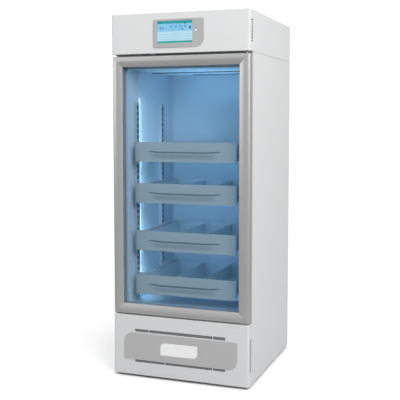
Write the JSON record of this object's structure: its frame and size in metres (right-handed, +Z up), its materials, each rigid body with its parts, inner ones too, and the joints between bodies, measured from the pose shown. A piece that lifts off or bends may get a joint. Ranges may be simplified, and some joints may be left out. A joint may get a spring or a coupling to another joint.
{
  "type": "blood bank refrigerator",
  "caption": "Upright glass-door refrigerator for blood bags, with pull-out drawers on runners, a display header and a vented machine plinth.",
  "frame": {"origin": "on the floor under the centre of the cabinet", "axes": "+Z up, +X to the right seen from the front, the front faces -Y"},
  "size_m": [0.6, 0.658, 1.52],
  "materials": {
    "cabinet_paint": "powder coated, light grey-white",
    "door_aluminium": "anodised, light grey",
    "brushed_plate": "brushed",
    "badge_white": "moulded, bare",
    "liner_steel": "coated sheet",
    "rigid_foam": "foamed in place",
    "galvanised_steel": "zinc coated",
    "drawer_steel": "coated sheet",
    "pane_glass": "clear float glass",
    "screen_glass": "lit display",
    "seal_rubber": "extruded",
    "grey_plastic": "moulded",
    "dark_plastic": "moulded",
    "button_white": "moulded",
    "circuit_board": "solder mask",
    "led_lens": "frosted lens",
    "copper_tube": "drawn",
    "compressor_black": "enamelled",
    "fin_aluminium": "rolled fins",
    "fan_black": "moulded",
    "spacer_aluminium": "bright"
  },
  "bodies": {
    "cabinet": {"side_panel_left": "cabinet_paint", "side_panel_right": "cabinet_paint", "back_panel": "galvanised_steel", "base_frame": "galvanised_steel", "levelling_feet": "galvanised_steel", "plinth_panel": "cabinet_paint", "plinth_plate": "brushed_plate", "plinth_badge": "badge_white", "header_fascia": "cabinet_paint", "header_cover": "cabinet_paint", "inner_liner": "liner_steel", "insulation": "rigid_foam", "ceiling_panel": "liner_steel", "evaporator_coil": "fin_aluminium", "evaporator_fan_frame": "fan_black", "pilasters": "liner_steel", "led_strip": "led_lens", "hinge_brackets": "galvanised_steel", "display_bezel": "grey_plastic", "display_screen": "screen_glass", "controller_board": "circuit_board", "compressor": "compressor_black", "condenser_coil": "fin_aluminium", "condenser_fan_shroud": "galvanised_steel", "rear_grille": "galvanised_steel", "mains_inlet": "dark_plastic", "refrigerant_lines": "copper_tube", "cover_screws": "galvanised_steel", "door_sensor": "dark_plastic", "runner_brackets": "galvanised_steel", "runner_outer_members": "galvanised_steel"},
    "door": {"door_stile_left": "door_aluminium", "door_stile_right": "door_aluminium", "door_rail_top": "door_aluminium", "door_rail_bottom": "door_aluminium", "door_outer_pane": "pane_glass", "door_inner_pane": "pane_glass", "door_glass_spacer": "spacer_aluminium", "door_gasket": "seal_rubber", "door_inner_frame": "grey_plastic"},
    "drawer_1": {"drawer_1_front": "drawer_steel", "drawer_1_tray": "drawer_steel", "drawer_1_dividers": "drawer_steel", "drawer_1_runners": "galvanised_steel"},
    "drawer_2": {"drawer_2_front": "drawer_steel", "drawer_2_tray": "drawer_steel", "drawer_2_dividers": "drawer_steel", "drawer_2_runners": "galvanised_steel"},
    "drawer_3": {"drawer_3_front": "drawer_steel", "drawer_3_tray": "drawer_steel", "drawer_3_dividers": "drawer_steel", "drawer_3_runners": "galvanised_steel"},
    "drawer_4": {"drawer_4_front": "drawer_steel", "drawer_4_tray": "drawer_steel", "drawer_4_dividers": "drawer_steel", "drawer_4_runners": "galvanised_steel"},
    "push_button": {"mute_button": "button_white"},
    "rocker": {"power_switch": "dark_plastic"},
    "condenser_fan_wheel": {"condenser_fan": "fan_black"},
    "evaporator_fan_wheel": {"evaporator_fan": "fan_black"}
  },
  "joints": [
    {"name": "door_hinge", "type": "hinge", "parent": "cabinet", "child": "door", "pos_m": [0.282, -0.306, 0], "axis": [0, 0, 1], "range_deg": [0, 165]},
    {"name": "drawer_1_slide", "type": "slide", "parent": "cabinet", "child": "drawer_1", "axis": [0, -1, 0], "range_m": [0, 0.285]},
    {"name": "drawer_2_slide", "type": "slide", "parent": "cabinet", "child": "drawer_2", "axis": [0, -1, 0], "range_m": [0, 0.285]},
    {"name": "drawer_3_slide", "type": "slide", "parent": "cabinet", "child": "drawer_3", "axis": [0, -1, 0], "range_m": [0, 0.285]},
    {"name": "drawer_4_slide", "type": "slide", "parent": "cabinet", "child": "drawer_4", "axis": [0, -1, 0], "range_m": [0, 0.285]},
    {"name": "button_press", "type": "slide", "parent": "cabinet", "child": "push_button", "axis": [0, 1, 0], "range_m": [0, 0.001], "stiffness_N_per_m": 800, "springref_m": -0.0005},
    {"name": "rocker_pivot", "type": "hinge", "parent": "cabinet", "child": "rocker", "pos_m": [-0.191, 0.324, 0.199], "axis": [1, 0, 0], "range_deg": [0, 16]},
    {"name": "condenser_fan_spin", "type": "hinge", "parent": "cabinet", "child": "condenser_fan_wheel", "pos_m": [0.1, -0.159, 0.097], "axis": [0, 1, 0], "continuous": true},
    {"name": "evaporator_fan_spin", "type": "hinge", "parent": "cabinet", "child": "evaporator_fan_wheel", "pos_m": [0, -0.122, 1.317], "axis": [0, 0, 1], "continuous": true}
  ],
  "couplings": [
    {"joint": "drawer_1_slide", "follows": "door_hinge", "m_per_rad": 0.0989},
    {"joint": "drawer_2_slide", "follows": "door_hinge", "m_per_rad": 0.0989},
    {"joint": "drawer_3_slide", "follows": "door_hinge", "m_per_rad": 0.0989},
    {"joint": "drawer_4_slide", "follows": "door_hinge", "m_per_rad": 0.0989}
  ]
}
